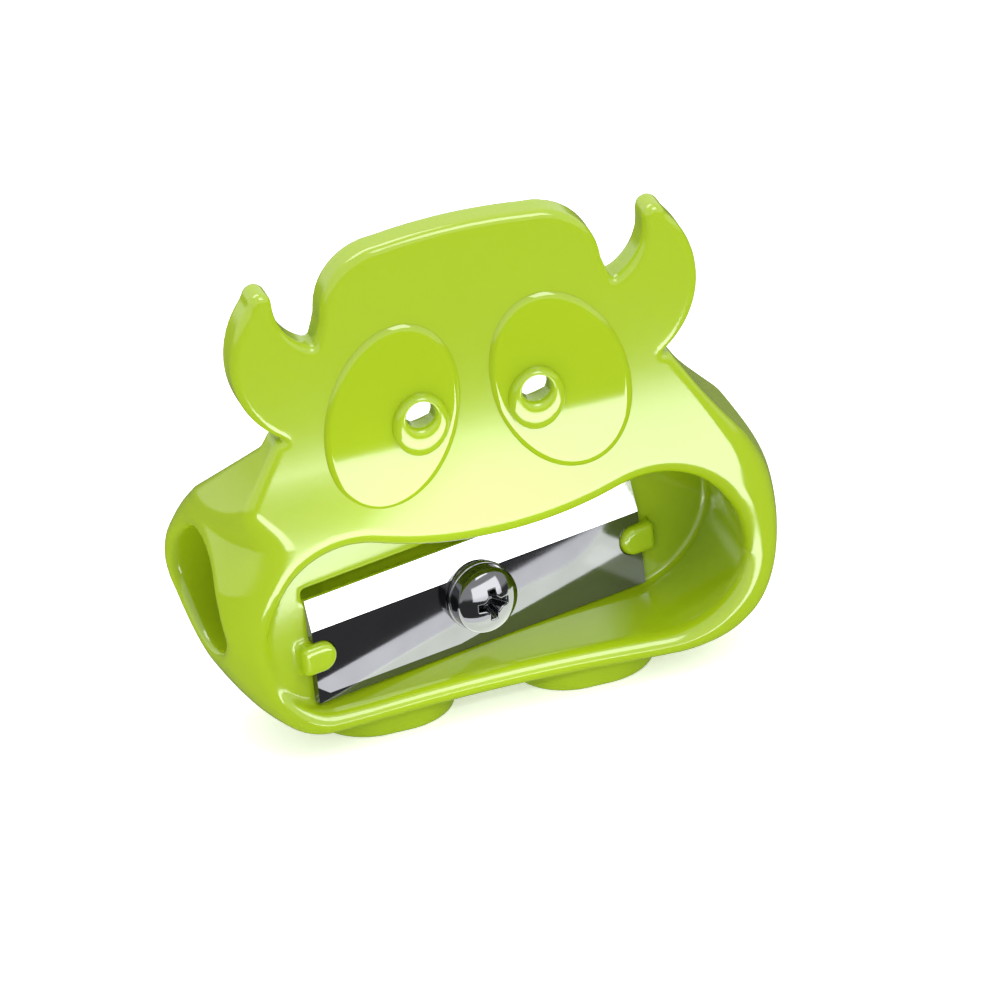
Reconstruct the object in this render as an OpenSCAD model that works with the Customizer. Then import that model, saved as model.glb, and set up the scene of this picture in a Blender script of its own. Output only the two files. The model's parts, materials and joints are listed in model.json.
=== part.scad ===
// Single-hole pencil sharpener with a horned monster face.
//
// A one-piece plastic body stands on two oval feet. The pencil goes in at
// the left end. A steel blade lies in the open mouth on a seat that leans
// by the point's half angle, held by one screw.
//
// Origin: centre of the footprint, at the underside of the feet.
// +X runs along the pencil's axis, away from the pencil hole.
// -Y is the way the face looks. +Z is up.

/* [Body block] */
// Width over the two cheeks
body_w = 39; // [34:0.5:44]
// Front-to-back depth of the block behind the mouth
block_d = 13; // [12:0.25:15]
// Radius of the round cheeks, seen from the front
cheek_r = 8.2; // [7:0.1:9.5]
// Height of the cheeks' underside above the table
belly_z = 1.3; // [0.8:0.1:2.5]
// Rise of the underside between the two cheeks
belly_rise = 0.7; // [0.3:0.1:1.5]
// Radius of the bulged ends, seen from above
end_bulge_r = 8; // [7:0.5:18]
// Rounding of the block's lower front edge
front_round_r = 1.6; // [0.6:0.1:2.5]
// Rounding of the block's lower back edge
heel_round_r = 4.5; // [2:0.25:6]
// Radius of the barrel that wraps the pencil hole at the back
barrel_r = 6; // [5.2:0.1:6.4]

/* [Face plate] */
// Thickness of the plate that carries horns and forehead
plate_t = 2.4; // [1.8:0.1:3.5]
// Half width at the neck, between cheeks and horns
neck_half_w = 12.9; // [11:0.1:15]
// Height of the neck
neck_z = 23.4; // [20:0.1:27]
// How far below the neck the plate starts to thicken
neck_drop = 1; // [0.3:0.1:2.5]
// Height of the top of the forehead
crown_z = 35.6; // [32:0.1:40]
// Radius of the forehead's long, flat top curve
crown_r = 36; // [20:1:80]
// Corner radius of the forehead
brow_r = 4.3; // [2:0.1:6]
// Half width of the forehead at its corners
brow_half_w = 9.2; // [7:0.1:11]
// Half width of the forehead where the horns start
temple_half_w = 9.75; // [7.5:0.05:11.5]
// Height of the notch between horn and forehead
temple_z = 29.1; // [26:0.1:32]

/* [Horns] */
// Radius of a horn's outer curve
horn_r = 6.45; // [5:0.05:8]
// Sideways position of the outer curve's centre
horn_x = 8.8; // [7:0.1:11]
// Height of the outer curve's centre
horn_z = 28.8; // [26:0.1:32]
// Radius of a horn's inner curve
notch_r = 3.75; // [2.5:0.05:5]
// Sideways position of the inner curve's centre
notch_x = 8.35; // [6.5:0.05:10]
// Height of the inner curve's centre
notch_z = 32.8; // [30:0.1:36]
// Height of the centre of a horn's round tip
horn_tip_z = 33.05; // [31:0.05:36]

/* [Eyes] */
// Sideways position of each eye's centre
eye_x = 5.6; // [5:0.1:7]
// Height of the eyes' centre
eye_z = 23.4; // [20:0.1:27]
// Half width of an eye before it is leaned
eye_half_w = 4.4; // [3:0.1:5]
// Half height of an eye before it is leaned
eye_half_h = 6.45; // [4:0.05:8]
// Lean of each eye's top towards the nose
eye_lean = 15; // [0:1:30]
// How far the eye discs stand proud of the face
eye_proud = 0.2; // [0.1:0.05:0.5]
// Sideways position of each pupil
pupil_x = 3.85; // [3:0.05:5]
// Height of the pupils
pupil_z = 22.5; // [19:0.1:26]
// Radius of a pupil boss
pupil_r = 1.95; // [1.4:0.05:2.6]
// How far a pupil boss stands proud of the eye
pupil_proud = 0.6; // [0.3:0.05:1]
// Radius of the hole through a pupil
pupil_hole_r = 0.95; // [0.6:0.05:1.2]
// How far the hole sits above the pupil's centre
pupil_hole_up = 0.5; // [0:0.05:0.7]

/* [Mouth] */
// Shift of the mouth away from the pencil hole
mouth_shift = 0.9; // [0:0.1:1.5]
// Distance from the mouth's centre to the centre of each end
mouth_half_l = 9.9; // [8:0.1:12]
// Radius of the mouth's round ends
mouth_r = 5.9; // [5:0.05:7]
// Height of the mouth's centre line
mouth_z = 9.4; // [8:0.1:11]
// Radius of the mouth's lower left corner
corner_r = 3.8; // [2:0.1:5.5]
// How far that corner's centre stands outside the round end's
corner_out = 1.8; // [0:0.1:3]
// Height of the upper lip at the middle
lip_top_z = 13.6; // [12:0.1:15]
// Height of the lower lip at the middle
lip_low_z = 3.8; // [3.55:0.05:4.2]
// Depth of the pocket past the blade, from the face
pocket_d = 10.5; // [8:0.25:11]
// Radius of the seat's round end, beside the pocket
seat_end_r = 6; // [5:0.1:6.5]
// Distance of that round end's centre short of the mouth's
seat_end_back = 2.2; // [1.5:0.1:4]

/* [Pencil hole] */
// Radius of the straight hole, for an 8 mm pencil
bore_r = 4.05; // [3.6:0.05:4.3]
// Height of the pencil's axis
bore_z = 10.95; // [10.5:0.05:11.5]
// Where the cone starts, left of the middle
cone_start = 9; // [8:0.1:11]
// Half angle of the pencil point
point_angle = 14; // [10:0.5:15]
// Radius of the cone's small end
nose_r = 0.3; // [0.15:0.05:0.6]
// How far the blade reaches inside the cone's surface
bite = 0.25; // [0.1:0.05:0.4]
// Height of the shavings slot above the cutting edge
slot_h = 1.8; // [1:0.1:2.2]

/* [Blade] */
// Length of the blade
blade_l = 24; // [22:0.1:25]
// Height of the blade
blade_h = 7.1; // [6.6:0.1:7.6]
// Thickness of the blade
blade_t = 0.6; // [0.4:0.05:0.9]
// Middle of the blade, left of the middle of the body
blade_shift = 0.3; // [0:0.1:1]
// How far the cutting edge stands above the pencil's axis
edge_over = 0.05; // [0:0.05:0.6]
// Height of the ground bevel
bevel_h = 2; // [1:0.1:3]
// Thickness left at the cutting edge
edge_t = 0.04; // [0.02:0.01:0.1]
// Radius of the blade's middle hole
blade_hole_r = 1.6; // [1.5:0.05:2]

/* [Locating lugs] */
// Radius of the round inner end of each lug
lug_r = 1; // [0.7:0.05:1.4]
// Clearance between a lug and the blade's end notch
lug_fit = 0.08; // [0.05:0.01:0.2]
// How far a lug reaches into the blade's end
lug_in = 1.5; // [1:0.1:2.5]
// How far a lug reaches out past the blade's end
lug_out = 0.9; // [0.4:0.1:1.3]
// How far a lug stands in front of the blade
lug_proud = 0.45; // [0.2:0.05:0.8]
// Height of the lugs and notches below the blade's middle
lug_drop = 0.3; // [0:0.1:1]

/* [Screw] */
// Outer radius of the screw's shank
screw_r = 1.3; // [1.1:0.05:1.4]
// Running clearance round the shank
screw_fit = 0.05; // [0.02:0.01:0.1]
// Length of the screw under its head
screw_l = 6.6; // [5:0.1:7]
// Length of the screw's pointed end
tip_l = 1.1; // [0.6:0.1:1.6]
// Radius of the small flat on that pointed end
tip_r = 0.4; // [0.2:0.05:0.7]
// Radius of the flange under the head
head_r = 2.3; // [2:0.05:2.7]
// Thickness of the flange
flange_t = 0.35; // [0.2:0.05:0.6]
// Radius of the head's dome where it meets the flange
dome_r = 2.05; // [1.7:0.05:2.3]
// Height of the dome
dome_h = 1.75; // [0.8:0.05:2]
// Width of the cross recess's arms
recess_w = 0.5; // [0.35:0.05:0.7]
// Length across the cross recess
recess_l = 2.1; // [1.6:0.1:2.6]
// Depth of the cross recess
recess_d = 0.9; // [0.6:0.05:1.2]

/* [Feet] */
// Sideways position of each foot
foot_x = 6.6; // [5.5:0.1:8.5]
// Half length of a foot
foot_half_l = 4.6; // [3:0.1:5.2]
// Half depth of a foot
foot_half_d = 3.9; // [2.5:0.1:4.5]

/* [Hidden] */
$fn = 96;
eps = 0.01;          // overlap where two shapes are joined
far = 60;            // longer than anything in the part
foot_bury = 0.3;     // how far the feet run up into the underside

// positions that follow from the sizes above
proud = eye_proud + pupil_proud;
face_y = (proud - block_d) / 2;
back_y = face_y + block_d;
plate_back_y = face_y + plate_t;
bore_y = face_y + block_d / 2;
cheek_x = body_w / 2 - cheek_r;
cheek_z = belly_z + cheek_r;
end_x = body_w / 2 - end_bulge_r;
brow_x = brow_half_w - brow_r;
crown_fall = crown_r - sqrt(pow(crown_r, 2) - pow(brow_x, 2));
brow_z = crown_z - crown_fall - brow_r;
horn_in = notch_x + sqrt(pow(notch_r, 2) - pow(horn_tip_z - notch_z, 2));
horn_out = horn_x + sqrt(pow(horn_r, 2) - pow(horn_tip_z - horn_z, 2));
slope_top_z = neck_z - neck_drop;

// the blade's frame: origin on the seat, +Y into the body, X along the edge
edge_z = bore_z + edge_over;
blade_low = edge_z - blade_h;
blade_mid_z = edge_z - blade_h / 2;
seat_y = bore_y - bore_r + bite + (cone_start - blade_shift) * tan(point_angle);
cone_l = (bore_r - nose_r) / tan(point_angle);
hole_z = blade_mid_z;
lug_z = blade_mid_z - lug_drop;
notch_depth = lug_in + lug_fit;
corner_down = mouth_r - corner_r;

// the point where a line from P touches a circle about C, on the given side
function touch(p, c, r, side) =
  let (v = c - p, d = norm(v), a = atan2(v.y, v.x) + side * asin(r / d),
       l = sqrt(d * d - r * r))
  p + l * [cos(a), sin(a)];

// radius of a curve that joins two equal circles and crosses the middle
// at height rise above or below the line between their centres
function waist_r(half_l, r, rise) =
  (pow(half_l, 2) + pow(rise, 2) - pow(r, 2)) / (2 * (r - rise));

// where that curve touches the right-hand circle
function waist_pt(half_l, r, rise) =
  let (w = waist_r(half_l, r, rise))
  [half_l * w / (w + r), (rise + w) * r / (w + r)];

// where a line touches two circles on the given side of the line C1 to C2
function tangent_pts(c1, r1, c2, r2, side) =
  let (v = c2 - c1, a = atan2(v.y, v.x) + side * acos((r1 - r2) / norm(v)),
       u = [cos(a), sin(a)])
  [c1 + r1 * u, c2 + r2 * u];

// the outline of a band pulled tight round two circles
module belt(c1, r1, c2, r2) {
  left = tangent_pts(c1, r1, c2, r2, 1);
  right = tangent_pts(c1, r1, c2, r2, -1);
  translate(c1) circle(r1);
  translate(c2) circle(r2);
  polygon([c1, left[0], left[1], c2, right[1], right[0]]);
}

// two equal round ends with a waist drawn in from above and from below
module bone(half_l, r, rise_up, rise_down) {
  up = waist_pt(half_l, r, rise_up);
  down = waist_pt(half_l, r, rise_down);
  for (side = [-1, 1]) translate([side * half_l, 0]) circle(r);
  difference() {
    polygon([[-up.x, up.y], [up.x, up.y], [down.x, -down.y], [-down.x, -down.y]]);
    translate([0, rise_up + waist_r(half_l, r, rise_up)])
      circle(waist_r(half_l, r, rise_up), $fn = 360);
    translate([0, -rise_down - waist_r(half_l, r, rise_down)])
      circle(waist_r(half_l, r, rise_down), $fn = 720);
  }
}

// a sheet drawn in X and Z, given depth from y0 back to y1
module upright(y0, y1) {
  translate([0, y1, 0]) rotate([90, 0, 0]) linear_extrude(y1 - y0) children();
}

// ---------- body ----------

module cheeks_2d() {
  translate([0, cheek_z])
    bone(cheek_x, cheek_r, 0, cheek_r - belly_rise);
  side_pt = touch([neck_half_w, neck_z], [cheek_x, cheek_z], cheek_r, 1);
  polygon([[-neck_half_w, neck_z], [neck_half_w, neck_z], side_pt,
           [cheek_x, cheek_z], [-cheek_x, cheek_z], [-side_pt.x, side_pt.y]]);
}

module forehead_2d() {
  polygon([[-temple_half_w, neck_z - eps], [temple_half_w, neck_z - eps],
           [temple_half_w, temple_z], [brow_half_w, brow_z], [brow_x, brow_z + brow_r],
           [-brow_x, brow_z + brow_r], [-brow_half_w, brow_z], [-temple_half_w, temple_z]]);
  for (side = [-1, 1]) translate([side * brow_x, brow_z]) circle(brow_r);
  intersection() {
    translate([0, crown_z - crown_r]) circle(crown_r, $fn = 360);
    translate([-brow_x, brow_z]) square([2 * brow_x, brow_r + 1]);
  }
}

module horn_2d() {
  difference() {
    intersection() {
      translate([horn_x, horn_z]) circle(horn_r);
      translate([brow_x, neck_z - eps]) square([horn_r * 2, horn_tip_z - neck_z + eps]);
    }
    translate([notch_x, notch_z]) circle(notch_r);
  }
  translate([(horn_in + horn_out) / 2, horn_tip_z]) circle((horn_out - horn_in) / 2);
}

module face_2d() {
  cheeks_2d();
  forehead_2d();
  horn_2d();
  mirror([1, 0]) horn_2d();
}

// the block and plate seen from the pencil's end, in Y and Z
module side_2d() {
  heel = [back_y - heel_round_r, belly_z + heel_round_r];
  barrel = [back_y - barrel_r, bore_z];
  toe = [face_y + front_round_r, belly_z + front_round_r];
  slope_top = [plate_back_y, slope_top_z];
  slope_low = touch(slope_top, barrel, barrel_r, 1);
  translate(toe) circle(front_round_r, $fn = 48);
  translate(heel) circle(heel_round_r);
  translate(barrel) circle(barrel_r);
  polygon([[face_y, toe.y], [toe.x, belly_z], [heel.x, belly_z], heel, [back_y, heel.y],
           [back_y, barrel.y], barrel, slope_low, slope_top, [plate_back_y, crown_z + 1],
           [face_y, crown_z + 1]]);
}

// the block seen from above, with bulged ends
module plan_2d() {
  translate([-end_x, face_y]) square([2 * end_x, block_d]);
  for (side = [-1, 1]) translate([side * end_x, bore_y]) circle(end_bulge_r, $fn = 180);
}

module shell() {
  intersection() {
    upright(face_y, back_y) face_2d();
    rotate([90, 0, 90]) translate([0, 0, -far / 2]) linear_extrude(far) side_2d();
    linear_extrude(crown_z + 1) plan_2d();
  }
}

module eye_2d(grow = 0) {
  translate([eye_x, eye_z]) rotate([0, 0, eye_lean])
    scale([1, (eye_half_h + grow) / (eye_half_w + grow)]) circle(eye_half_w + grow);
}

module eyes() {
  for (side = [0, 1]) mirror([side, 0, 0]) {
    upright(face_y - eye_proud, face_y + eps) eye_2d();
    translate([pupil_x, face_y + eps, pupil_z]) rotate([90, 0, 0])
      cylinder(h = proud + eps, r = pupil_r, $fn = 64);
  }
}

module pupil_holes() {
  for (side = [-1, 1])
    translate([side * pupil_x, plate_back_y + 1, pupil_z + pupil_hole_up])
      rotate([90, 0, 0]) cylinder(h = far / 2, r = pupil_hole_r, $fn = 48);
}

module feet() {
  for (side = [-1, 1]) translate([side * foot_x, 0, 0])
    linear_extrude(belly_z + belly_rise + foot_bury) {
      for (end = [-1, 1]) translate([end * (foot_half_l - foot_half_d), 0]) circle(foot_half_d);
      square([2 * (foot_half_l - foot_half_d), 2 * foot_half_d], center = true);
    }
}

// the squarer lower corner at the pencil's end, about the mouth's centre
module mouth_corner_2d() {
  belt([-mouth_half_l, 0], mouth_r, [-mouth_half_l - corner_out, -corner_down], corner_r);
}

module mouth_2d() {
  translate([mouth_shift, mouth_z]) {
    bone(mouth_half_l, mouth_r, lip_top_z - mouth_z, mouth_z - lip_low_z);
    mouth_corner_2d();
  }
}

// moves its children to the blade's frame
module on_seat() {
  translate([-blade_shift, seat_y, 0]) rotate([0, 0, point_angle]) children();
}

// everything in front of the seat
module mouth_room() {
  intersection() {
    upright(face_y - 1, back_y) mouth_2d();
    on_seat() translate([-far / 2, -far, 0]) cube([far, far, far]);
  }
}

// crescent pocket past the end of the seat
module pocket() {
  end_c = mouth_shift + mouth_half_l;
  upright(face_y - 1, face_y + pocket_d) difference() {
    translate([end_c, mouth_z]) circle(mouth_r);
    translate([end_c - seat_end_back, mouth_z]) circle(seat_end_r);
    translate([end_c - 2 * mouth_r, 0]) square([2 * mouth_r, far]);
  }
}

// the pencil's hole, and the cone that guides its point
module pencil_room() {
  translate([-cone_start, bore_y, bore_z]) rotate([0, 90, 0]) {
    translate([0, 0, -far / 2]) cylinder(h = far / 2 + eps, r = bore_r);
    cylinder(h = cone_l, r1 = bore_r, r2 = nose_r);
  }
}

// the opening above the cutting edge, for the shavings
module shavings_slot() {
  on_seat() translate([-blade_l / 2, -eps, bore_z])
    linear_extrude(slot_h + edge_over)
      polygon([[0, 0], [blade_l - 3, 0], [blade_l - 3, 0.5], [0, bore_r - 0.8]]);
}

module screw_hole() {
  on_seat() translate([0, -1, hole_z]) rotate([-90, 0, 0])
    cylinder(h = screw_l - blade_t + 1.5, r = screw_r + screw_fit, $fn = 64);
}

// one lug, in the blade's frame, at the blade's right-hand end
module lug() {
  inner_x = blade_l / 2 - lug_in + lug_r;
  translate([0, eps, lug_z]) rotate([90, 0, 0])
    linear_extrude(blade_t + lug_proud + eps) {
      translate([inner_x, 0]) circle(lug_r, $fn = 64);
      translate([inner_x, -lug_r]) square([lug_in + lug_out - lug_r, 2 * lug_r]);
    }
}

module lugs() {
  on_seat() {
    lug();
    mirror([1, 0, 0]) lug();
  }
}

module body() {
  color("YellowGreen") {
    difference() {
      union() {
        shell();
        eyes();
        feet();
      }
      pupil_holes();
      mouth_room();
      pocket();
      pencil_room();
      shavings_slot();
      screw_hole();
    }
    lugs();
  }
}

// ---------- blade ----------

module blade_notch() {
  inner_x = blade_l / 2 - notch_depth + lug_r + lug_fit;
  translate([0, 1, lug_z]) rotate([90, 0, 0]) linear_extrude(blade_t + 2) {
    translate([inner_x, 0]) circle(lug_r + lug_fit, $fn = 64);
    translate([inner_x, -lug_r - lug_fit]) square([lug_in, 2 * (lug_r + lug_fit)]);
  }
}

module blade() {
  color("Silver") on_seat() difference() {
    translate([-blade_l / 2, 0, 0]) rotate([90, 0, 90]) linear_extrude(blade_l)
      polygon([[0, blade_low], [0, edge_z], [-edge_t, edge_z],
               [-blade_t, edge_z - bevel_h], [-blade_t, blade_low]]);
    translate([0, 1, hole_z]) rotate([90, 0, 0])
      cylinder(h = blade_t + 2, r = blade_hole_r, $fn = 64);
    blade_notch();
    mirror([1, 0, 0]) blade_notch();
  }
}

// ---------- screw ----------

// radius of the ball whose cap is the dome
function ball_r() = (pow(dome_r, 2) + pow(dome_h, 2)) / (2 * dome_h);

module screw() {
  color("LightGrey") on_seat() translate([0, -blade_t, hole_z]) rotate([-90, 0, 0]) {
    difference() {
      union() {
        cylinder(h = screw_l - tip_l + eps, r = screw_r, $fn = 64);
        translate([0, 0, screw_l - tip_l])
          cylinder(h = tip_l, r1 = screw_r, r2 = tip_r, $fn = 64);
        translate([0, 0, -flange_t]) cylinder(h = flange_t, r = head_r);
        intersection() {
          translate([0, 0, ball_r() - flange_t - dome_h]) sphere(ball_r());
          translate([0, 0, -flange_t - dome_h - 1])
            cylinder(h = dome_h + 1 + eps, r = head_r);
        }
      }
      for (turn = [0, 90]) rotate([0, 0, turn])
        translate([-recess_l / 2, -recess_w / 2, -flange_t - dome_h - 1])
          cube([recess_l, recess_w, recess_d + 1]);
    }
  }
}

body();
blade();
screw();
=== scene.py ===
import json
import math

import bmesh
import bpy
import numpy as np
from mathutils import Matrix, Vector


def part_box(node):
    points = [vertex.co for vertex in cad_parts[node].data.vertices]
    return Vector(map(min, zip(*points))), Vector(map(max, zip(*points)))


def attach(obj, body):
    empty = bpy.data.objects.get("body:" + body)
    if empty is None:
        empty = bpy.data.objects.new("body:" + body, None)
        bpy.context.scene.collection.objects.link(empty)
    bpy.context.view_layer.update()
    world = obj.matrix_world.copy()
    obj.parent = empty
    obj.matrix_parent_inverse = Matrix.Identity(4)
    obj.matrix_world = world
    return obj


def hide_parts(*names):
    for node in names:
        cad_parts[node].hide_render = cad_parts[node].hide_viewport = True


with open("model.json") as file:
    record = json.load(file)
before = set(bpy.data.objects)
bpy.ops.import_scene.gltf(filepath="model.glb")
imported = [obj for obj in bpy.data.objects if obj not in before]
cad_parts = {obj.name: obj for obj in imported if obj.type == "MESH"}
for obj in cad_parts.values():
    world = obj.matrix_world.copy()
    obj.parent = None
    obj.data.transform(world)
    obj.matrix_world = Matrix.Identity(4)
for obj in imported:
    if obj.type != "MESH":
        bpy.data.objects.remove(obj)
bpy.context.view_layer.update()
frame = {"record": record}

import openvdb
from mathutils import Matrix, Vector
from mathutils.geometry import tessellate_polygon

MM = 0.001

# ---------------------------------------------------------------- sizes, mm
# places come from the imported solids, the rest are the moulding's own radii
body_lo, body_hi = [np.array(v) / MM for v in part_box("body")]
blade_lo, blade_hi = [np.array(v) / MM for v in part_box("blade")]
lift, turn = frame["record"]["behaviour"]["joints"][:2]
off_seat = np.array(lift["axis"], float)               # straight off the seat
along = np.array([-off_seat[1], off_seat[0], 0.0])      # along the blade
seat = np.array(turn["pos_m"], float) / MM             # screw's axis, on the seat

EYE_PROUD, PUPIL_PROUD = 0.2, 0.6
face_y = body_lo[1] + EYE_PROUD + PUPIL_PROUD
back_y = body_hi[1]
bore_y = (face_y + back_y) / 2
half_w = body_hi[0]
crown_z = body_hi[2]
edge_z, blade_low = blade_hi[2], blade_lo[2]

BELLY_Z, BELLY_RISE, CHEEK_R = 1.3, 0.7, 8.2
LOWER_EASE = 1.66                # how much the cheek's lower quarter is drawn in, 2 is a true circle
NECK = np.array([12.9, 23.4])
NECK_DROP, PLATE_T = 1.0, 2.4
BROW_R, BROW_HALF_W, CROWN_R = 4.3, 9.2, 36.0
TEMPLE = np.array([9.75, 29.1])
HORN_C, HORN_R = np.array([8.8, 28.8]), 6.45
NOTCH_C, NOTCH_R = np.array([8.35, 32.8]), 3.75
HORN_TIP_Z = 33.05
TOE_R, HEEL_R, BARREL_R = 1.6, 4.5, 6.0
END_DRAW_LEFT, END_DRAW_RIGHT = 0.066, 0.05     # how fast each end draws in, 1/mm
END_LEAN, END_BACK = 0.11, 0.25  # the left end leans to the back and stops this short
END_ROUND, END_ROUND_FADE = 0.12, 40            # it draws in above and below the hole, 1/mm, less far away
RIGHT_FULLNESS = 0.75            # the right end stands out this much further than the left
EYE_X, EYE_Z, EYE_A, EYE_B, EYE_LEAN = 5.52, 23.4, 4.4, 6.45, 15.0
FACE_SHIFT = 0.15                # eyes and pupils sit this far right of the middle
PUPIL_X, PUPIL_Z, PUPIL_A, PUPIL_B, PUPIL_HOLE_R, HOLE_UP = 3.8, 22.6, 1.85, 2.2, 0.95, 0.8
HOLE_DRAFT = 0.42                # how fast the pupil holes widen towards the back
MOUTH_C, MOUTH_HALF_L, MOUTH_R = np.array([0.9, 9.4]), 9.9, 5.9
CORNER_R, CORNER_OUT = 3.8, 1.8
LIP_TOP_Z, LIP_LOW_Z = 13.6, 3.8
LIP_FULLNESS = 0.4               # the upper lip hangs this much lower than its sheet
POCKET_D, SEAT_END_R, SEAT_END_BACK = 10.5, 6.0, 2.2
BORE_R, BORE_Z, CONE_START, POINT_ANGLE = 4.05, 10.95, 9.0, 14.0
SLOT_HALF_L, SLOT_LEFT = 10.5, 1.5
SLOT_H, SLOT_D = 0.7, 0.9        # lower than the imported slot, which is 1.8 high
SLOT_WALL = 0.45                 # wall between the mouth and the cone above the slot
BLADE_L, BLADE_T, BEVEL_H, EDGE_T, BLADE_HOLE_R = 24.0, 0.6, 2.0, 0.04, 1.6
LUG_R, LUG_FIT, LUG_IN, LUG_OUT, LUG_PROUD, LUG_DROP = 1.0, 0.08, 1.5, 0.9, 0.45, 0.3
SCREW_R, SCREW_L, PITCH, HEAD_R, FLANGE_T, DOME_R, DOME_H = 1.3, 6.6, 1.1, 2.3, 0.35, 2.2, 1.75
DOME_CAP = 0.45                  # share of the dome's height that is curved, the rest is upright wall
FOOT_X, FOOT_A, FOOT_B = 6.6, 4.6, 3.9
blade_mid_z = (edge_z + blade_low) / 2
lug_z = blade_mid_z - LUG_DROP
tan_point = math.tan(math.radians(POINT_ANGLE))


# ---------------------------------------------------------------- outlines
def arc(centre, radius, start, end, step=3.0):
    """Points along an arc, angles in degrees."""
    count = max(2, int(abs(end - start) / step) + 1)
    angles = np.radians(np.linspace(start, end, count))
    return np.stack([centre[0] + radius * np.cos(angles), centre[1] + radius * np.sin(angles)], 1)


def bearing(origin, target):
    return math.degrees(math.atan2(target[1] - origin[1], target[0] - origin[0]))


def touch(point, centre, radius, side):
    """Where a line from point touches a circle, on the given side."""
    v = np.subtract(centre, point)
    d = np.hypot(*v)
    a = math.atan2(v[1], v[0]) + side * math.asin(radius / d)
    return np.add(point, math.sqrt(d * d - radius * radius) * np.array([math.cos(a), math.sin(a)]))


def waist(half_l, radius, rise):
    """Radius of the curve that joins two equal circles and crosses the middle at that rise."""
    return (half_l ** 2 + rise ** 2 - radius ** 2) / (2 * (radius - rise))


def both_sides(right):
    """A closed outline from its right half, given from the bottom middle up to the top middle."""
    left = right[::-1] * [-1, 1]
    return np.vstack([right, left[1:-1]])


def softened(outline, spread, spacing=0.12):
    """The outline resampled evenly, its corners eased over about the given distance."""
    closed = np.vstack([outline, outline[:1]])
    length = np.concatenate([[0], np.cumsum(np.hypot(*np.diff(closed, axis=0).T))])
    count = int(length[-1] / spacing)
    at = np.linspace(0, length[-1], count, endpoint=False)
    points = np.stack([np.interp(at, length, closed[:, k]) for k in (0, 1)], 1)
    reach = int(4 * spread / spacing)
    weights = np.exp(-0.5 * (np.arange(-reach, reach + 1) * spacing / spread) ** 2)
    weights /= weights.sum()
    return sum(w * np.roll(points, k, axis=0) for w, k in zip(weights, range(-reach, reach + 1)))


def eased_lower(cheek, start):
    """The cheek's lower quarter, flatter across its corner than a circle."""
    angles = np.radians(np.arange(start, -1, 3))
    c, n = np.abs(np.cos(angles)), 2 / LOWER_EASE
    return cheek + CHEEK_R * np.stack([np.sign(np.cos(angles)) * c ** n, -np.abs(np.sin(angles)) ** n], 1)


def face_outline():
    cheek = np.array([half_w - CHEEK_R, BELLY_Z + CHEEK_R])
    rise = CHEEK_R - BELLY_RISE
    w = waist(cheek[0], CHEEK_R, rise)
    under = np.array([0.0, cheek[1] - rise - w])
    side = touch(NECK, cheek, CHEEK_R, 1)
    horn_in = NOTCH_C[0] + math.sqrt(NOTCH_R ** 2 - (HORN_TIP_Z - NOTCH_C[1]) ** 2)
    horn_out = HORN_C[0] + math.sqrt(HORN_R ** 2 - (HORN_TIP_Z - HORN_C[1]) ** 2)
    tip = np.array([(horn_in + horn_out) / 2, HORN_TIP_Z])
    neck_on_horn = [HORN_C[0] + math.sqrt(HORN_R ** 2 - (NECK[1] - HORN_C[1]) ** 2), NECK[1]]
    temple_on_notch = [TEMPLE[0], NOTCH_C[1] - math.sqrt(NOTCH_R ** 2 - (TEMPLE[0] - NOTCH_C[0]) ** 2)]
    brow_x = BROW_HALF_W - BROW_R
    brow_z = crown_z - CROWN_R + math.sqrt(CROWN_R ** 2 - brow_x ** 2) - BROW_R
    crown = np.array([0.0, crown_z - CROWN_R])
    return both_sides(np.vstack([
        arc(under, w, 90, bearing(under, cheek), 0.5),
        eased_lower(cheek, bearing(cheek, under)),
        arc(cheek, CHEEK_R, 0, bearing(cheek, side), 2),
        [NECK],
        arc(HORN_C, HORN_R, bearing(HORN_C, neck_on_horn), bearing(HORN_C, [horn_out, HORN_TIP_Z]), 2),
        arc(tip, (horn_out - horn_in) / 2, 0, 180, 8)[1:],
        arc(NOTCH_C, NOTCH_R, bearing(NOTCH_C, [horn_in, HORN_TIP_Z]),
            bearing(NOTCH_C, temple_on_notch), 3)[1:],
        arc([brow_x, brow_z], BROW_R, 0, 90, 3),
        arc(crown, CROWN_R, bearing(crown, [brow_x, brow_z + BROW_R]), 90, 0.5)[1:],
    ]))


def mouth_outline():
    """The mouth's opening about its own centre, round at the right, squarer at the lower left."""
    end = np.array([MOUTH_HALF_L, 0.0])
    corner = np.array([MOUTH_HALF_L + CORNER_OUT, CORNER_R - MOUTH_R])
    up, down = LIP_TOP_Z - MOUTH_C[1], MOUTH_C[1] - LIP_LOW_Z
    w_up, w_down = waist(MOUTH_HALF_L, MOUTH_R, up), waist(MOUTH_HALF_L, MOUTH_R, down)
    over, under = np.array([0.0, up + w_up]), np.array([0.0, -down - w_down])
    corner_gap = np.hypot(*(corner - end))
    turn_off = bearing(end, corner) + math.degrees(math.acos((MOUTH_R - CORNER_R) / corner_gap))
    upper = [arc(end, MOUTH_R, turn_off, bearing(end, over), 3),
             arc(over, w_up, bearing(over, end), -90, 0.5)[1:]]
    lower = arc(under, w_down, 90, bearing(under, end), 0.1)
    right = np.vstack([lower, arc(end, MOUTH_R, bearing(end, under), turn_off, 3)] + upper)
    left = np.vstack([lower, arc(corner, CORNER_R, -90, turn_off, 3)] + upper)
    return np.vstack([right, left[::-1][1:-1] * [-1, 1]])


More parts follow.
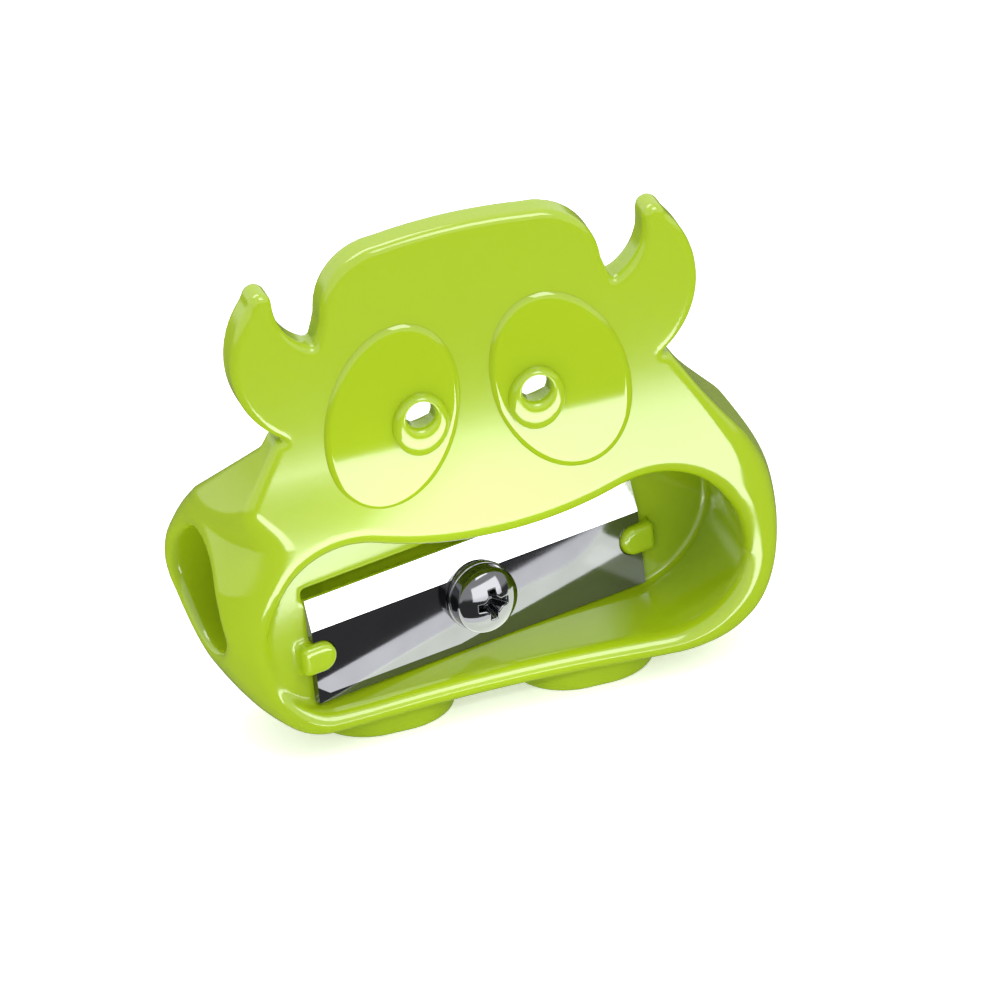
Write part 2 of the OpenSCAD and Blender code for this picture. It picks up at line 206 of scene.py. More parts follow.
def side_outline():
    """Block and plate from the pencil's end, in Y and Z, open at the top."""
    toe, heel = [face_y + TOE_R, BELLY_Z + TOE_R], [back_y - HEEL_R, BELLY_Z + HEEL_R]
    barrel = np.array([back_y - BARREL_R, BORE_Z])
    slope_top = np.array([face_y + PLATE_T, NECK[1] - NECK_DROP])
    slope_low = touch(slope_top, barrel, BARREL_R, 1)
    return np.vstack([
        arc(toe, TOE_R, 180, 270, 6), arc(heel, HEEL_R, 270, 360, 4),
        arc(barrel, BARREL_R, 0, bearing(barrel, slope_low), 3),
        [slope_top], [[face_y + PLATE_T, crown_z + 4]], [[face_y, crown_z + 4]],
    ])


def plan_outline():
    """The bulged ends from above, open to front and back."""
    y = np.linspace(-8.5, 8.5, 120)
    right = np.stack([half_w - END_DRAW_RIGHT * y ** 2, y + bore_y], 1)
    left = np.stack([END_DRAW_LEFT * y ** 2 - END_LEAN * y + END_BACK - half_w, y + bore_y], 1)
    return np.vstack([right, left[::-1]])


class Sheet:
    """Distance to a flat outline, kept on a fine grid and read with smooth slopes."""

    def __init__(self, outline, low, high, cell=0.14):
        self.low, self.cell = np.array(low, float), cell
        nu, nv = (np.ceil((np.array(high) - low) / cell).astype(int) + 1)
        u = low[0] + cell * np.arange(nu)
        v = low[1] + cell * np.arange(nv)
        points = np.stack(np.meshgrid(u, v, indexing="ij"), -1).reshape(-1, 2)
        a, b = outline, np.roll(outline, -1, axis=0)
        ab = b - a
        reach = np.maximum((ab ** 2).sum(1), 1e-12)
        value = np.empty(len(points))
        for k in range(0, len(points), 4000):
            p = points[k:k + 4000]
            ap = p[:, None] - a[None]
            t = np.clip((ap * ab).sum(2) / reach, 0, 1)
            gap = ((ap - t[..., None] * ab) ** 2).sum(2).min(1)
            above = (a[None, :, 1] > p[:, None, 1]) != (b[None, :, 1] > p[:, None, 1])
            rise = np.where(np.abs(ab[:, 1]) < 1e-12, 1e-12, ab[:, 1])
            crossing = p[:, None, 0] < a[None, :, 0] + (p[:, None, 1] - a[None, :, 1]) * (ab[:, 0] / rise)
            inside = (above & crossing).sum(1) % 2 == 1
            value[k:k + 4000] = np.where(inside, -1, 1) * np.sqrt(gap)
        self.value = value.reshape(nu, nv)

    def __call__(self, u, v):
        u, v = np.broadcast_arrays(u, v)
        taps = []
        for w, low, count in ((u, self.low[0], self.value.shape[0]), (v, self.low[1], self.value.shape[1])):
            s = np.clip((w - low) / self.cell, 1, count - 2.001)
            i = s.astype(int)
            f = s - i
            taps.append((i, (-f + 2 * f ** 2 - f ** 3, 2 - 5 * f ** 2 + 3 * f ** 3,
                             f + 4 * f ** 2 - 3 * f ** 3, f ** 3 - f ** 2)))
        (i, wu), (j, wv) = taps
        total, last_row = 0, self.value.shape[1] - 1
        for m in range(4):
            row = sum(wv[n] * self.value[i + m - 1, np.minimum(j + n - 1, last_row)] for n in range(4))
            total = total + wu[m] * row
        return total / 4


face_sheet = Sheet(softened(face_outline(), 0.22), [-22, -2], [22, 39])
mouth_sheet = Sheet(softened(mouth_outline(), 0.3), [-18, -9], [18, 8])
side_sheet = Sheet(softened(side_outline(), 0.35), [-9, -2], [9, 39])
plan_sheet = Sheet(softened(plan_outline(), 0.2), [-22, -9], [22, 9])


# ---------------------------------------------------------------- shapes as distances
SOFTNESS = 2.3                   # 2 rounds edges to true arcs, more eases them into the flats


def shared(radius, *parts):
    """The region that all parts share, its outer edges rounded."""
    worst = parts[0]
    length = np.maximum(radius + parts[0], 0) ** SOFTNESS
    for part in parts[1:]:
        worst = np.maximum(worst, part)
        length = length + np.maximum(radius + part, 0) ** SOFTNESS
    return np.minimum(-radius, worst) + length ** (1 / SOFTNESS)


def blended(a, b, radius):
    """Two regions joined, with a small fillet."""
    h = np.clip(0.5 + 0.5 * (b - a) / radius, 0, 1)
    return b + (a - b) * h - radius * h * (1 - h)


def ramp(t):
    """0 to 1 with eased ends."""
    t = np.clip(t, 0, 1)
    return t * t * (3 - 2 * t)


def in_seat(x, y):
    """Along the blade, and back into the body, from the seat's middle."""
    return ((x - seat[0]) * along[0] + (y - seat[1]) * along[1],
            -(x - seat[0]) * off_seat[0] - (y - seat[1]) * off_seat[1])


def body_shape(x, y, z):
    """Distance to the moulding's surface, less than 0 inside."""
    # outer form: soft cheeks below, a crisper plate above
    low = ramp((21.0 - z) / 9.0)
    edge = 0.6 + 1.3 * low
    wide = x - RIGHT_FULLNESS * low * ramp((x - 7) / 9)
    shoulder = 0.35 * low * np.clip((z - 9) / 4, 0, 1) * np.clip(-x / 8, 0, 1)
    away = (z - BORE_Z) ** 2
    left = np.clip(-x / 14 - 0.2, 0, 1) * np.clip((19.5 - z) / 3.5, 0, 1)
    rounding = END_ROUND * away / (1 + away / END_ROUND_FADE) * ramp(left)
    outer = shared(edge, face_sheet(wide, z) - shoulder, side_sheet(y, z) - shoulder,
                   plan_sheet(wide - rounding, y) - shoulder)
    from_foot = np.maximum(np.abs(np.abs(x) - FOOT_X) - (FOOT_A - FOOT_B), 0)
    foot = shared(0.5, np.hypot(from_foot, y) - FOOT_B, -z, z - (BELLY_Z + BELLY_RISE + 1))
    outer = blended(outer, foot, 0.25)

    # hollows
    u, v = in_seat(x, y)
    opening = mouth_sheet(x - MOUTH_C[0], z - MOUTH_C[1]) + LIP_FULLNESS * np.clip((z - 8) / 4, 0, 1)
    mouth = shared(0.5, opening, v)
    end_x = MOUTH_C[0] + MOUTH_HALF_L
    seat_end = np.hypot(x - (end_x - SEAT_END_BACK), z - MOUTH_C[1]) - SEAT_END_R
    bowl = y - (face_y + POCKET_D) + 0.10 * (x - end_x) ** 2 + 0.05 * (z - MOUTH_C[1]) ** 2
    pocket = shared(2.0, opening, -seat_end, bowl, end_x - 1 - x)
    round_bore = np.hypot(y - bore_y, z - BORE_Z)
    past = x + CONE_START
    cone = (round_bore - BORE_R + np.maximum(past, 0) * tan_point) * math.cos(math.radians(POINT_ANGLE))
    cone = np.maximum(cone, SLOT_WALL - v)
    slot = shared(0.3, np.abs(u + SLOT_LEFT) - SLOT_HALF_L, v - SLOT_D, -v - 1,
                  BORE_Z - z, z - (edge_z + SLOT_H))
    screw_hole = shared(0.1, np.hypot(u, z - blade_mid_z) - SCREW_R + 0.12, v - SCREW_L - 0.5, -v - 1)
    hollows = np.minimum(blended(np.minimum(mouth, pocket), slot, 0.5), np.minimum(cone, screw_hole))
    at_hole = np.clip((-13 - x) / 2, 0, 1)
    at_face = np.clip((face_y + 2.6 - y) / 1.2, 0, 1)
    rim = 0.45 + 0.75 * at_hole + 0.95 * at_face * (1 - at_hole)
    solid = shared(rim, outer, -hollows)

    # holes through the pupils, wider at the back
    widening = PUPIL_HOLE_R + np.maximum(y - face_y + PUPIL_PROUD, 0) * HOLE_DRAFT
    pupil = np.hypot(np.abs(x - FACE_SHIFT) - PUPIL_X, z - PUPIL_Z - HOLE_UP) - widening
    solid = shared(0.18, solid, -pupil)

    # the two lugs that hold the blade's ends
    inner = BLADE_L / 2 - LUG_IN + LUG_R
    along_lug = np.abs(u)
    stub = np.where(along_lug < inner, np.hypot(along_lug - inner, z - lug_z), np.abs(z - lug_z)) - LUG_R
    lug = shared(0.45, stub, along_lug - (BLADE_L / 2 + LUG_OUT), -v - BLADE_T - LUG_PROUD, v - 0.6)
    return blended(solid, lug, 0.35)


def head_shape(x, y, z):
    """Distance to the screw's head: flange, dome and cross recess. +Z looks out of the head."""
    crown = DOME_CAP * DOME_H
    ball = (DOME_R ** 2 + crown ** 2) / (2 * crown)
    r = np.hypot(x, y)
    dome = shared(0.2, np.sqrt(r ** 2 + (z - (FLANGE_T + DOME_H - ball)) ** 2) - ball, r - DOME_R)
    flange = shared(0.12, r - HEAD_R, z - FLANGE_T, -z)
    head = np.minimum(flange, shared(0.1, dome, -z, r - HEAD_R))
    depth = FLANGE_T + DOME_H - z
    taper = 0.28 - 0.13 * depth
    reach = 1.18 - 0.62 * depth
    arm_x = shared(0.05, np.abs(y) - taper, np.abs(x) - reach)
    arm_y = shared(0.05, np.abs(x) - taper, np.abs(y) - reach)
    core = r - (0.62 - 0.35 * depth)
    recess = np.maximum(blended(np.minimum(arm_x, arm_y), core, 0.12) * 0.85, depth - 1.15)
    return shared(0.09, head, -recess)


# ---------------------------------------------------------------- meshes
def mesh_from_shape(name, shape, low, high, cell):
    """A closed mesh of a shape, its points drawn on to the true surface and its normals taken from it."""
    axes = [np.arange(low[k], high[k] + cell, cell) for k in range(3)]
    x, y, z = axes[0][:, None, None], axes[1][None, :, None], axes[2][None, None, :]
    values = np.ascontiguousarray(np.broadcast_to(shape(x, y, z), [len(a) for a in axes]).astype(np.float32))
    grid = openvdb.FloatGrid(1.0)
    grid.copyFromArray(values)
    points, quads = grid.convertToQuads(isovalue=0.0)
    points = np.array(low) + cell * np.asarray(points, float)

    def slope(p, h=0.02):
        steps = []
        for k in range(3):
            a, b = p.copy(), p.copy()
            a[:, k] += h
            b[:, k] -= h
            steps.append((shape(*a.T) - shape(*b.T)) / (2 * h))
        return np.stack(steps, 1)

    for _ in range(3):
        g = slope(points)
        step = shape(*points.T) / np.maximum((g ** 2).sum(1), 0.25)
        points -= np.clip(step, -0.6 * cell, 0.6 * cell)[:, None] * g
    g = slope(points, 0.03)
    normals = g / np.maximum(np.linalg.norm(g, axis=1), 1e-6)[:, None]

    quads = np.asarray(quads, int)
    corner = points[quads]
    facing = np.cross(corner[:, 2] - corner[:, 0], corner[:, 3] - corner[:, 1])
    if (facing * normals[quads[:, 0]]).sum() < 0:
        quads = quads[:, ::-1]
    mesh = bpy.data.meshes.new(name)
    mesh.from_pydata((points * MM).tolist(), [], quads.tolist())
    mesh.update()
    mesh.shade_smooth()
    mesh.normals_split_custom_set_from_vertices(normals.tolist())
    return mesh


def placed(name, mesh):
    piece = bpy.data.objects.new(name, mesh)
    bpy.context.scene.collection.objects.link(piece)
    return piece


def rings_mesh(name, rings, close_last=False):
    """A skin through closed rings of points, all with the same count."""
    bm = bmesh.new()
    loops = [[bm.verts.new(Vector(p) * MM) for p in ring] for ring in rings]
    count = len(loops[0])
    for a, b in zip(loops, loops[1:]):
        for k in range(count):
            bm.faces.new((a[k], a[(k + 1) % count], b[(k + 1) % count], b[k]))
    if close_last:
        bm.faces.new(loops[-1])
    mesh = bpy.data.meshes.new(name)
    bm.to_mesh(mesh)
    bm.free()
    mesh.shade_smooth()
    return mesh


def eye_disc(name, side):
    """Flat polished eye with a bevelled rim, open in the middle under the pupil."""
    t = np.linspace(0, 2 * np.pi, 160, endpoint=False)
    lean = math.radians(EYE_LEAN)
    profile = [(0.02, -0.15), (-0.03, 0.03), (-0.34, 0.165), (-0.4, 0.192), (-0.47, 0.2), (-0.6, 0.2)]

    def ellipse(grow):
        a, b = EYE_A + grow, EYE_B + grow
        x, z = a * np.cos(t), b * np.sin(t)
        return np.stack([EYE_X + x * math.cos(lean) - z * math.sin(lean),
                         EYE_Z + x * math.sin(lean) + z * math.cos(lean)], 1)

    inner = np.stack([PUPIL_X + 1.5 * np.cos(t + lean), PUPIL_Z + 1.8 * np.sin(t + lean)], 1)
    rings = [(ellipse(grow), rise) for grow, rise in profile]
    last = rings[-1][0]
    rings += [(last + (inner - last) * k / 8, 0.2) for k in range(1, 9)]
    turned = []
    for flat, rise in rings:
        ring = [(side * x + FACE_SHIFT, face_y - rise, z) for x, z in flat]
        turned.append(ring if side > 0 else ring[::-1])
    return rings_mesh(name, turned)


def pupil_boss(name, side):
    """Domed boss with a hole, its walls running back into the face."""
    t = np.linspace(0, 2 * np.pi, 96, endpoint=False)
    profile = [(0.0, -0.1), (0.0, 0.18), (0.02, 0.3), (0.07, 0.42), (0.15, 0.53), (0.25, 0.62),
               (0.36, 0.69), (0.48, 0.74), (0.6, 0.77), (0.72, 0.785), (0.8, 0.77), (0.87, 0.73),
               (0.93, 0.65), (0.975, 0.52), (1.0, 0.32), (1.0, 0.0), (1.0, -0.6)]
    rings = []
    for share, rise in profile:
        a, b = PUPIL_A + (PUPIL_HOLE_R - PUPIL_A) * share, PUPIL_B + (PUPIL_HOLE_R - PUPIL_B) * share
        up = HOLE_UP * share
        ring = [(side * (PUPIL_X + a * math.cos(k)) + FACE_SHIFT, face_y - rise,
                 PUPIL_Z + up + b * math.sin(k)) for k in t]
        rings.append(ring if side > 0 else ring[::-1])
    return rings_mesh(name, rings)


def eased(mesh, width, angle=30):
    """The mesh with a small bevel on its hard edges."""
    holder = placed("eased", mesh)
    bevel = holder.modifiers.new("edge", "BEVEL")
    bevel.width = width * MM
    bevel.segments = 2
    bevel.limit_method = "ANGLE"
    bevel.angle_limit = math.radians(angle)
    bevel.harden_normals = True
    depsgraph = bpy.context.evaluated_depsgraph_get()
    done = bpy.data.meshes.new_from_object(holder.evaluated_get(depsgraph))
    bpy.data.objects.remove(holder)
    return done


def blade_mesh():
    """Steel strip with a ground bevel, a middle hole and a notch in each end, on its seat."""
    low, high, knee = blade_low, edge_z, edge_z - BEVEL_H
    notch_r = LUG_R + LUG_FIT
    inner = BLADE_L / 2 - LUG_IN - LUG_FIT + notch_r
    right = [[BLADE_L / 2, low], [BLADE_L / 2, lug_z - notch_r]]
    right += arc([inner, lug_z], notch_r, 270, 90, 6).tolist()
    right += [[BLADE_L / 2, lug_z + notch_r], [BLADE_L / 2, knee]]
    outline = np.array(right + [[-x, z] for x, z in reversed(right)])
    hole = arc([0, blade_mid_z], BLADE_HOLE_R, 360, 6, 6)
    bm = bmesh.new()

    def at(u, v, z):
        p = seat + along * u - off_seat * v
        return bm.verts.new(Vector((p[0], p[1], z)) * MM)

    front = [at(u, -BLADE_T, z) for u, z in outline]
    back = [at(u, 0, z) for u, z in outline]
    hole_front = [at(u, -BLADE_T, z) for u, z in hole]
    hole_back = [at(u, 0, z) for u, z in hole]
    loops = [[Vector((u, z, 0)) for u, z in outline], [Vector((u, z, 0)) for u, z in hole]]
    for tri in tessellate_polygon(loops):
        bm.faces.new([(front + hole_front)[k] for k in tri])
        bm.faces.new([(back + hole_back)[k] for k in reversed(tri)])
    top = len(right) - 1                                  # the knee line runs from right[top] to its twin
    for loop_f, loop_b in ((front, back), (hole_front, hole_back)):
        count = len(loop_f)
        for k in range(count):
            if loop_f is front and k == top:
                continue
            m = (k + 1) % count
            bm.faces.new((loop_f[k], loop_b[k], loop_b[m], loop_f[m]))
    edge_f = [at(BLADE_L / 2, -EDGE_T, high), at(-BLADE_L / 2, -EDGE_T, high)]
    edge_b = [at(BLADE_L / 2, 0, high), at(-BLADE_L / 2, 0, high)]
    knee_f, knee_b = (front[top], front[top + 1]), (back[top], back[top + 1])
    ground = bm.faces.new((knee_f[0], edge_f[0], edge_f[1], knee_f[1]))
    bm.faces.new((knee_b[1], edge_b[1], edge_b[0], knee_b[0]))
    bm.faces.new((edge_f[0], edge_b[0], edge_b[1], edge_f[1]))
    bm.faces.new((knee_f[0], knee_b[0], edge_b[0], edge_f[0]))
    bm.faces.new((knee_b[1], knee_f[1], edge_f[1], edge_b[1]))
    bmesh.ops.recalc_face_normals(bm, faces=bm.faces)
    ground.material_index = 1
    mesh = bpy.data.meshes.new("blade_strip")
    bm.to_mesh(mesh)
    bm.free()
    return eased(mesh, 0.02, 8)


# ---------------------------------------------------------------- materials
def linear(hex_colour):
    """An sRGB hex colour as linear RGBA."""
    channels = [int(hex_colour[k:k + 2], 16) / 255 for k in (1, 3, 5)]
    return [c / 12.92 if c <= 0.04045 else ((c + 0.055) / 1.055) ** 2.4 for c in channels] + [1.0]


def new_material(name):
    material = bpy.data.materials.new(name)
    material.use_nodes = True
    tree = material.node_tree
    return material, tree, next(n for n in tree.nodes if n.type == "BSDF_PRINCIPLED")


def add(tree, kind, links=None, **values):
    """One node: values set attributes or sockets by name, links join sockets by name."""
    node = tree.nodes.new(kind)
    for key, value in values.items():
        if hasattr(node, key):
            setattr(node, key, value)
        else:
            node.inputs[key.replace("_", " ")].default_value = value
    for key, source in (links or {}).items():
        tree.links.new(source, node.inputs[key])
    return node


def moulded_plastic(name, colour, tint, rough, grain):
    """Glossy injection-moulded plastic: faint flow marks in the colour and a fine, shallow mould grain."""
    material, tree, shader = new_material(name)
    where = add(tree, "ShaderNodeTexCoord").outputs["Object"]
    flow = add(tree, "ShaderNodeTexNoise", {"Vector": where}, Scale=1 / (9 * MM), Detail=3.0, Roughness=0.55)
    mix = add(tree, "ShaderNodeMix", data_type="RGBA")
    mix.inputs[6].default_value, mix.inputs[7].default_value = linear(colour), linear(tint)
    tree.links.new(flow.outputs["Fac"], mix.inputs[0])
    tree.links.new(mix.outputs[2], shader.inputs["Base Color"])
    fine = add(tree, "ShaderNodeTexNoise", {"Vector": where}, Scale=1 / (0.35 * MM), Detail=4.0,
               Roughness=0.6)
    rough_map = add(tree, "ShaderNodeMapRange", {"Value": fine.outputs["Fac"]}, From_Min=0.3, From_Max=0.7,
                    To_Min=rough * 0.88, To_Max=rough * 1.12)
    tree.links.new(rough_map.outputs["Result"], shader.inputs["Roughness"])
    bump = add(tree, "ShaderNodeBump", {"Height": fine.outputs["Fac"]}, Strength=grain, Distance=0.02 * MM)
    tree.links.new(bump.outputs["Normal"], shader.inputs["Normal"])
    shader.inputs["IOR"].default_value = 1.55
    shader.inputs["Specular IOR Level"].default_value = 0.85
    shader.inputs["Subsurface Weight"].default_value = 0.12
    shader.inputs["Subsurface Radius"].default_value = (1.2, 1.6, 0.3)
    shader.inputs["Subsurface Scale"].default_value = 0.8 * MM
    return material


def ground_steel(name, colour, rough, line_mm, depth):
    """Tool steel with fine grinding lines along the blade and a little mottling."""
    material, tree, shader = new_material(name)
    where = add(tree, "ShaderNodeTexCoord").outputs["Object"]
    turned = add(tree, "ShaderNodeMapping", {"Vector": where}, Rotation=(0, 0, -math.radians(POINT_ANGLE)))
    squeezed = add(tree, "ShaderNodeMapping", {"Vector": turned.outputs["Vector"]},
                   Scale=(1 / (14 * MM), 1 / (line_mm * MM), 1 / (line_mm * MM)))
    lines = add(tree, "ShaderNodeTexNoise", {"Vector": squeezed.outputs["Vector"]}, Scale=1.0, Detail=5.0,
                Roughness=0.7)
    mottle = add(tree, "ShaderNodeTexNoise", {"Vector": where}, Scale=1 / (3 * MM), Detail=2.0)
    mix = add(tree, "ShaderNodeMix", data_type="RGBA")
    base = linear(colour)
    mix.inputs[6].default_value, mix.inputs[7].default_value = base, [c * 0.72 for c in base[:3]] + [1]
    tree.links.new(mottle.outputs["Fac"], mix.inputs[0])
    tree.links.new(mix.outputs[2], shader.inputs["Base Color"])
    rough_map = add(tree, "ShaderNodeMapRange", {"Value": lines.outputs["Fac"]}, From_Min=0.3, From_Max=0.7,
                    To_Min=rough * 0.75, To_Max=rough * 1.25)
    tree.links.new(rough_map.outputs["Result"], shader.inputs["Roughness"])
    bump = add(tree, "ShaderNodeBump", {"Height": lines.outputs["Fac"]}, Strength=depth, Distance=0.004 * MM)
    tree.links.new(bump.outputs["Normal"], shader.inputs["Normal"])
    shader.inputs["Metallic"].default_value = 1.0
    return material


def plated_steel(name, colour, rough):
    """Nickel plating with very faint haze. The colour it is given is darker than nickel, a painted dark
    reflection, which leaves the dome black with bright spots.
    """
    material, tree, shader = new_material(name)
    where = add(tree, "ShaderNodeTexCoord").outputs["Object"]
    haze = add(tree, "ShaderNodeTexNoise", {"Vector": where}, Scale=1 / (0.6 * MM), Detail=3.0)
    rough_map = add(tree, "ShaderNodeMapRange", {"Value": haze.outputs["Fac"]}, From_Min=0.3, From_Max=0.7,
                    To_Min=rough * 0.7, To_Max=rough * 1.5)
    tree.links.new(rough_map.outputs["Result"], shader.inputs["Roughness"])
    shader.inputs["Base Color"].default_value = linear(colour)
    shader.inputs["Metallic"].default_value = 1.0
    return material


lime = moulded_plastic("lime_plastic", "#98B214", "#9BB516", 0.14, 0.1)
polished_lime = moulded_plastic("polished_lime_plastic", "#98B214", "#9BB516", 0.045, 0.02)
# one steel in two tones: the strip is coloured darker than plain steel (painted shade, a dark reflection) and
# the bevel lighter (a painted highlight); the mottling is the steel's own
strip_steel_painted_dark = ground_steel("blade_strip_steel_painted_dark", "#85868A", 0.09, 0.06, 0.1)
bevel_steel_painted_bright = ground_steel("blade_bevel_steel_painted_bright", "#E4E5E6", 0.1, 0.04, 0.1)
# the screw's colour is darker than plain nickel: a painted dark reflection of the surroundings
nickel_painted_dark = plated_steel("screw_nickel_painted_dark", "#7A7B7E", 0.07)

# ---------------------------------------------------------------- pieces
margin = 0.6
moulding = placed("moulded_body", mesh_from_shape(
    "moulded_body", body_shape, body_lo - margin, body_hi + margin, 0.23))
moulding.data.materials.append(lime)
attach(moulding, "body")
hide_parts("body")

eye_pieces = []
for side, word in ((-1, "left"), (1, "right")):
    disc = placed(f"eye_disc_{word}", eye_disc(f"eye_disc_{word}", side))
    disc.data.materials.append(polished_lime)
    boss = placed(f"pupil_boss_{word}", pupil_boss(f"pupil_boss_{word}", side))
    boss.data.materials.append(lime)
    eye_pieces += [disc, boss]
    for piece in (disc, boss):
        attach(piece, "body")
        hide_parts("body")

strip = placed("blade_strip", blade_mesh())
strip.data.materials.append(strip_steel_painted_dark)
strip.data.materials.append(bevel_steel_painted_bright)
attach(strip, "blade")
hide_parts("blade")


def screw_frame(points):
    """Points given about the screw's axis, +Z out of the head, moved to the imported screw's place."""
    out = off_seat / np.linalg.norm(off_seat)
    across = np.array([-out[1], out[0], 0.0])
    up = np.array([0.0, 0.0, 1.0])
    p = np.asarray(points, float)
    origin = seat + out * BLADE_T
    return origin + p[:, :1] * across + p[:, 1:2] * up + p[:, 2:3] * out


def moved_to_screw(mesh):
    flat = np.empty(len(mesh.vertices) * 3)
    mesh.vertices.foreach_get("co", flat)
    flat = screw_frame(flat.reshape(-1, 3) / MM) * MM
    mesh.vertices.foreach_set("co", flat.ravel())
    mesh.update()
    return mesh


def thread_nodes(material):
    """A node tree that winds a ridge round a shank: core radius, depth, pitch and length are its inputs."""
    tree = bpy.data.node_groups.new("screw_thread", "GeometryNodeTree")
    face = tree.interface
    sizes = {}
    for label in ("Core radius", "Ridge height", "Pitch", "Length"):
        sizes[label] = face.new_socket(label, in_out="INPUT", socket_type="NodeSocketFloat").identifier
    face.new_socket("Thread", in_out="OUTPUT", socket_type="NodeSocketGeometry")
    given = tree.nodes.new("NodeGroupInput").outputs
    turns = add(tree, "ShaderNodeMath", {0: given["Length"], 1: given["Pitch"]}, operation="DIVIDE")
    helix = add(tree, "GeometryNodeCurveSpiral", {
        "Rotations": turns.outputs[0], "Start Radius": given["Core radius"],
        "End Radius": given["Core radius"], "Height": given["Length"]}, Resolution=72)
    helix.inputs["Reverse"].default_value = False
    ridge = add(tree, "GeometryNodeCurvePrimitiveCircle", {"Radius": given["Ridge height"]},
                mode="RADIUS", Resolution=6)
    wound = add(tree, "GeometryNodeCurveToMesh",
                {"Curve": helix.outputs[0], "Profile Curve": ridge.outputs[0]})
    wound.inputs["Fill Caps"].default_value = True
    solid = add(tree, "GeometryNodeRealizeInstances", {"Geometry": wound.outputs[0]})
    finished = add(tree, "GeometryNodeSetMaterial", {"Geometry": solid.outputs[0]}, Material=material)
    tree.links.new(finished.outputs[0], tree.nodes.new("NodeGroupOutput").inputs["Thread"])
    return tree, sizes


def screw_thread():
    """The helical ridge from just under the head to the start of the point."""
    tree, sizes = thread_nodes(nickel_painted_dark)
    holder = placed("thread_holder", bpy.data.meshes.new("thread_holder"))
    wind = holder.modifiers.new("wind", "NODES")
    wind.node_group = tree
    for label, value in (("Core radius", 1.06), ("Ridge height", 0.2), ("Pitch", PITCH), ("Length", 4.6)):
        wind[sizes[label]] = value * MM
    depsgraph = bpy.context.evaluated_depsgraph_get()
    mesh = bpy.data.meshes.new_from_object(holder.evaluated_get(depsgraph))
    bpy.data.objects.remove(holder)
    mesh.name = "screw_thread"
    flat = np.empty(len(mesh.vertices) * 3)
    mesh.vertices.foreach_get("co", flat)
    p = flat.reshape(-1, 3)
    p[:, 2] -= 5.6 * MM
    mesh.vertices.foreach_set("co", p.ravel())
    return moved_to_screw(mesh)


head_mesh = mesh_from_shape(
    "screw_head", head_shape, np.array([-2.5, -2.5, -0.2]), np.array([2.5, 2.5, 2.3]), 0.05)
head = np.empty(len(head_mesh.vertices) * 3)
head_mesh.vertices.foreach_get("co", head)
head_normals = np.array([tuple(n.vector) for n in head_mesh.corner_normals])
head_points = screw_frame(head.reshape(-1, 3) / MM)
head_mesh.vertices.foreach_set("co", (head_points * MM).ravel())
turned_normals = screw_frame(head_normals) - screw_frame(np.zeros((1, 3)))
head_mesh.normals_split_custom_set(turned_normals.tolist())
screw_head = placed("screw_head", head_mesh)
screw_head.data.materials.append(nickel_painted_dark)

t = np.linspace(0, 2 * np.pi, 48, endpoint=False)
shank_profile = [(0.2, 0.06), (1.05, 0.06), (1.06, 0.0), (1.06, -5.5),
                 (0.95, -5.7), (0.45, -6.5), (0.3, -6.58), (0.12, -6.6)]
shank_rings = [screw_frame([(r * math.cos(a), r * math.sin(a), z) for a in t]) for r, z in shank_profile]
shank = placed("screw_shank", rings_mesh("screw_shank", shank_rings, close_last=True))
shank.data.materials.append(nickel_painted_dark)
thread = placed("screw_thread", screw_thread())
for piece in (screw_head, shank, thread):
    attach(piece, "screw")
    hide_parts("screw")

# ---------------------------------------------------------------- set
SKY = 0.95
floor_mesh = bpy.data.meshes.new("floor")
floor_mesh.from_pydata([(-1.5, -1.5, 0), (1.5, -1.5, 0), (1.5, 1.5, 0), (-1.5, 1.5, 0)], [], [(0, 1, 2, 3)])
floor = placed("floor", floor_mesh)
pale, _, pale_shader = new_material("pale_floor")
pale_shader.inputs["Base Color"].default_value = linear("#F4F4F2")
pale_shader.inputs["Roughness"].default_value = 0.9
pale_shader.inputs["Specular IOR Level"].default_value = 0.1
pale_shader.inputs["Emission Color"].default_value = (1, 1, 1, 1)
pale_shader.inputs["Emission Strength"].default_value = 0.45
floor_mesh.materials.append(pale)

world = bpy.data.worlds.new("studio")
bpy.context.scene.world = world
world.use_nodes = True
sky = world.node_tree
facing = add(sky, "ShaderNodeSeparateXYZ", {"Vector": add(sky, "ShaderNodeTexCoord").outputs["Generated"]})
level = add(sky, "ShaderNodeMapRange", {"Value": facing.outputs["Z"]}, interpolation_type="SMOOTHSTEP",
            From_Min=-0.12, From_Max=0.02, To_Min=0.12, To_Max=SKY)
sky.links.new(level.outputs["Result"], sky.nodes["Background"].inputs["Strength"])
sky.nodes["Background"].inputs["Color"].default_value = (1, 1, 1, 1)
bpy.context.scene.view_settings.view_transform = "Standard"


def softbox(name, place, aim, size, radiance, mirrored_in=None):
    """A soft rectangular light, places and sizes in mm, brightness per unit of area and angle.

    Given a collection, it is a card seen only as a reflection in those pieces."""
    light = bpy.data.lights.new(name, "AREA")
    light.shape = "RECTANGLE"
    light.size, light.size_y = size[0] * MM, size[1] * MM
    light.energy = radiance * math.pi * light.size * light.size_y
    lamp = bpy.data.objects.new(name, light)
    bpy.context.scene.collection.objects.link(lamp)
    facing_aim = (Vector(aim) - Vector(place)).to_track_quat("-Z", "Y").to_matrix().to_4x4()
    lamp.matrix_world = Matrix.Translation(Vector(place) * MM) @ facing_aim
    lamp.visible_camera = False
    if mirrored_in:
        lamp.visible_diffuse = False
        lamp.light_linking.receiver_collection = mirrored_in


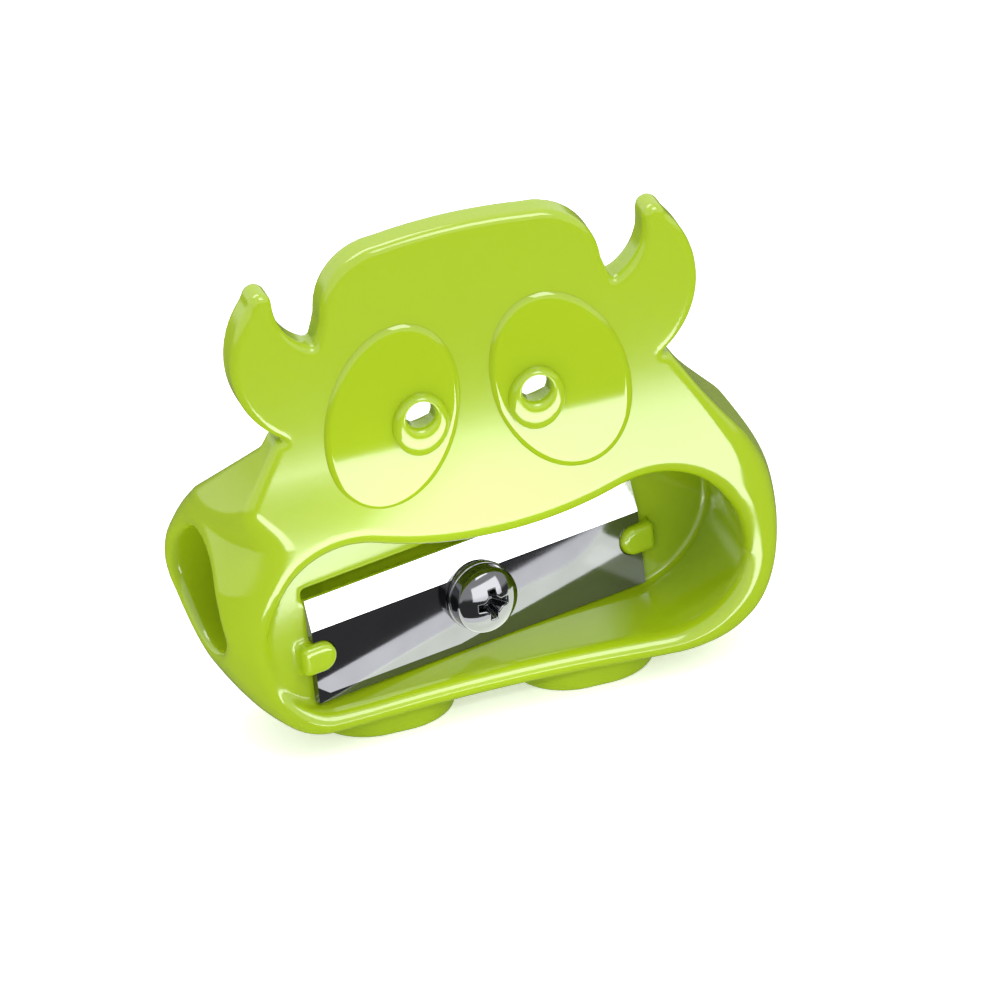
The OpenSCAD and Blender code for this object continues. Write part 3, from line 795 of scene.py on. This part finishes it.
floor.visible_glossy = False
metal = bpy.data.collections.new("metal_parts")
plastic = bpy.data.collections.new("plastic_parts")
for piece in (strip, screw_head):
    metal.objects.link(piece)
plastic.objects.link(moulding)
for piece in eye_pieces:
    plastic.objects.link(piece)

softbox("key_softbox", (120, -220, 330), (0, 0, 15), (220, 220), 4.0)
softbox("top_softbox", (-60, 160, 320), (0, 0, 15), (240, 160), 3.5)
softbox("face_card", (6, -32, 0.3), (6, -32, 10), (48, 26), 5.6, plastic)
softbox("bevel_card", (12.5, -31, 12), (-6.4, -2.6, 11.2), (40, 20), 3.0, metal)
softbox("lip_card", (3, -4.2, 4.4), (3, -4.2, 10), (28, 4.0), 2.4, metal)

# a narrow lamp that fills the mouth
SPOT_PLACE, SPOT_AIM = Vector((-23, -70, 49)), Vector((0, -2, 8))
spot = bpy.data.lights.new("mouth_spot", "SPOT")
spot.energy, spot.shadow_soft_size = 0.1, 4 * MM
spot.spot_size, spot.spot_blend = math.radians(20), 0.9
mouth_spot = bpy.data.objects.new("mouth_spot", spot)
bpy.context.scene.collection.objects.link(mouth_spot)
mouth_spot.location = SPOT_PLACE * MM
mouth_spot.rotation_euler = (SPOT_AIM - SPOT_PLACE).to_track_quat("-Z", "Y").to_euler()
mouth_spot.visible_glossy = False

# camera: long lens, from the upper left front, rolled a little
azimuth, pitch, roll = math.radians(13.8), math.radians(28), math.radians(-6.5)
lens, sensor, scale_mm = 540.0, 22.5, 62.9                # frame width at the object, mm
distance = scale_mm * lens / sensor
forward = Vector((math.sin(azimuth) * math.cos(pitch), math.cos(azimuth) * math.cos(pitch), -math.sin(pitch)))
right = Vector((math.cos(azimuth), -math.sin(azimuth), 0))
up = right.cross(forward)
right, up = right * math.cos(roll) + up * math.sin(roll), up * math.cos(roll) - right * math.sin(roll)
camera = bpy.data.objects.new("camera", bpy.data.cameras.new("camera"))
bpy.context.scene.collection.objects.link(camera)
camera.data.lens, camera.data.sensor_width = lens, sensor
camera.data.clip_start, camera.data.clip_end = 0.01, 10
centre = Vector((2.41, 0.0, 12.62))
camera.matrix_world = Matrix.Translation((centre - forward * distance) * MM) @ Matrix(
    (right, up, -forward)).transposed().to_4x4()
bpy.context.scene.camera = camera
